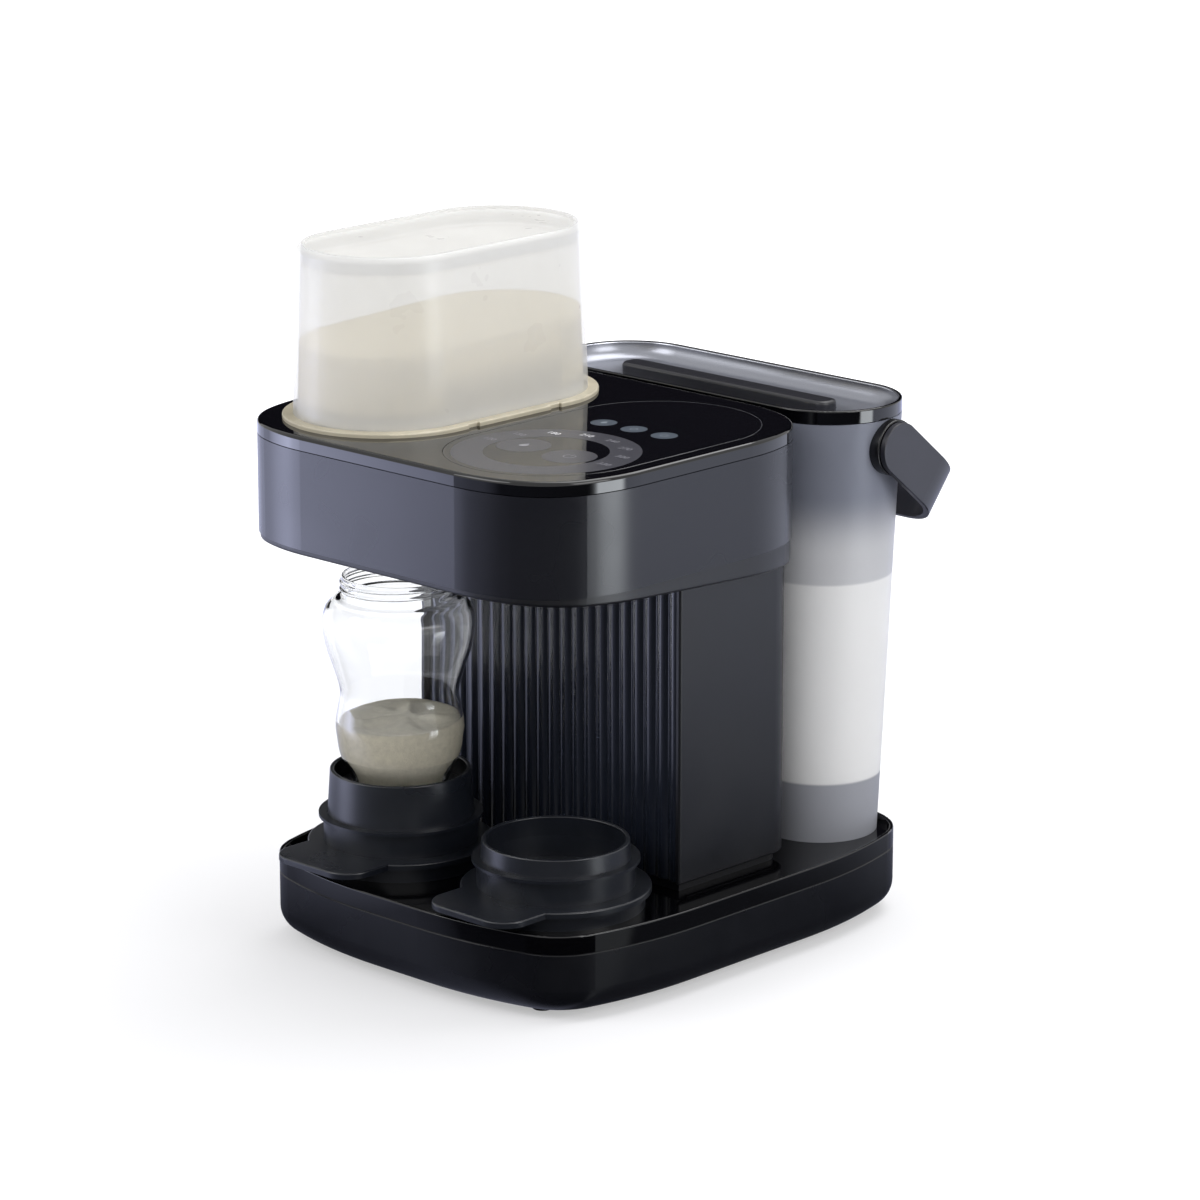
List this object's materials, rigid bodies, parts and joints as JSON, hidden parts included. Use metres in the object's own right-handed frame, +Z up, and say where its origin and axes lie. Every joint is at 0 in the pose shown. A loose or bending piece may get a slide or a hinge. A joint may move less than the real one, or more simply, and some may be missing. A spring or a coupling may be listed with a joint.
{
  "type": "baby formula maker",
  "caption": "Countertop machine that doses powder from a clear hopper and heated water from a rear tank into a bottle or cup on raised stands.",
  "frame": {"origin": "middle of the object's outer box, on the surface the machine stands on", "axes": "+Z up, -Y towards the front with the cup stations, +X to the user's right"},
  "size_m": [0.2178, 0.288, 0.3335],
  "materials": {
    "base_plastic": "satin moulded",
    "deck_plastic": "polished moulded",
    "foot_rubber": "matt",
    "steel": "turned",
    "contact_brass": "plain",
    "inner_plastic": "moulded",
    "seal_silicone": "translucent matt",
    "column_plastic": "satin moulded",
    "flute_plastic": "polished moulded",
    "hose_silicone": "translucent",
    "board": "solder mask",
    "pan_plastic": "polished moulded",
    "band_paint": "satin metallic",
    "top_gloss": "piano black",
    "touch_glass": "printed behind",
    "gear_plastic": "natural acetal",
    "cream_plastic": "satin moulded",
    "tub_plastic": "milky clear",
    "powder": "loose powder",
    "tank_plastic": "frosted smoke",
    "water": "clear",
    "pivot_plastic": "polished moulded",
    "lid_gloss": "piano black",
    "lid_satin": "satin metallic",
    "grip_gloss": "polished moulded",
    "handle_plastic": "satin moulded",
    "stand_plastic": "satin moulded",
    "bottle_plastic": "clear"
  },
  "bodies": {
    "root": {"base_pan": "base_plastic", "base_deck": "deck_plastic", "feet": "foot_rubber", "base_screws": "steel", "power_inlet": "inner_plastic", "inlet_pins": "contact_brass", "tank_dock": "inner_plastic", "dock_seal": "seal_silicone", "column_shell": "column_plastic", "fluted_panel": "flute_plastic", "column_plinth": "base_plastic", "service_frame": "inner_plastic", "pump": "inner_plastic", "heater": "steel", "inlet_hose": "hose_silicone", "link_hose": "hose_silicone", "hot_hose": "hose_silicone", "main_board": "board", "head_pan": "pan_plastic", "head_band": "band_paint", "top_panel": "top_gloss", "control_glass": "touch_glass", "control_board": "board", "hopper_well": "inner_plastic", "dosing_motor": "steel", "powder_chute": "pan_plastic", "water_nozzle": "pan_plastic"},
    "hopper": {"hopper_base": "cream_plastic", "feed_plate": "cream_plastic", "hopper_tub": "tub_plastic", "powder_fill": "powder"},
    "hopper_lid": {"hopper_lid": "tub_plastic"},
    "dosing_wheel": {"dosing_wheel": "gear_plastic"},
    "drive_pinion": {"drive_pinion": "gear_plastic"},
    "tank": {"tank_shell": "tank_plastic", "valve_body": "inner_plastic", "water_fill": "water", "handle_pivots": "pivot_plastic"},
    "tank_valve": {"tank_valve": "gear_plastic"},
    "tank_lid": {"tank_lid": "lid_gloss", "lid_plate": "lid_satin", "lid_grip": "grip_gloss"},
    "handle": {"handle": "handle_plastic"},
    "stand_left": {"stand_left": "stand_plastic"},
    "stand_right": {"stand_right": "stand_plastic"},
    "riser_left": {"riser_left": "stand_plastic"},
    "riser_right": {"riser_right": "stand_plastic"},
    "bottle": {"bottle": "bottle_plastic", "bottle_powder": "powder"}
  },
  "joints": [
    {"name": "hopper_lift", "type": "slide", "parent": "root", "child": "hopper", "axis": [0, 0, 1], "range_m": [0, 0.03]},
    {"name": "hopper_lid_lift", "type": "slide", "parent": "hopper", "child": "hopper_lid", "axis": [0, 0, 1], "range_m": [0, 0.02]},
    {"name": "dosing_turn", "type": "hinge", "parent": "hopper", "child": "dosing_wheel", "pos_m": [-0.052, -0.05048, 0.2426], "axis": [0, 0, 1], "continuous": true},
    {"name": "pinion_turn", "type": "hinge", "parent": "root", "child": "drive_pinion", "pos_m": [-0.004, -0.05048, 0.2426], "axis": [0, 0, 1], "continuous": true},
    {"name": "tank_lift", "type": "slide", "parent": "root", "child": "tank", "axis": [0, 0, 1], "range_m": [0, 0.04]},
    {"name": "valve_close", "type": "slide", "parent": "tank", "child": "tank_valve", "axis": [0, 0, -1], "range_m": [0, 0.003]},
    {"name": "tank_lid_lift", "type": "slide", "parent": "tank", "child": "tank_lid", "axis": [0, 0, 1], "range_m": [0, 0.02]},
    {"name": "handle_swing", "type": "hinge", "parent": "tank", "child": "handle", "pos_m": [0, 0.09487, 0.2306], "axis": [1, 0, 0], "range_deg": [0, 124]},
    {"name": "stand_left_lift", "type": "slide", "parent": "root", "child": "stand_left", "axis": [0, 0, 1], "range_m": [0, 0.0036]},
    {"name": "stand_right_lift", "type": "slide", "parent": "root", "child": "stand_right", "axis": [0, 0, 1], "range_m": [0, 0.02]},
    {"name": "riser_left_lift", "type": "slide", "parent": "stand_left", "child": "riser_left", "axis": [0, 0, 1], "range_m": [0, 0.002]},
    {"name": "riser_right_lift", "type": "slide", "parent": "stand_right", "child": "riser_right", "axis": [0, 0, 1], "range_m": [0, 0.024]},
    {"name": "bottle_lift", "type": "slide", "parent": "riser_left", "child": "bottle", "axis": [0, 0, 1], "range_m": [0, 0.0098]}
  ],
  "couplings": [
    {"joint": "pinion_turn", "follows": "dosing_turn", "ratio": -4.3333},
    {"joint": "valve_close", "follows": "tank_lift", "ratio": 0.075}
  ]
}
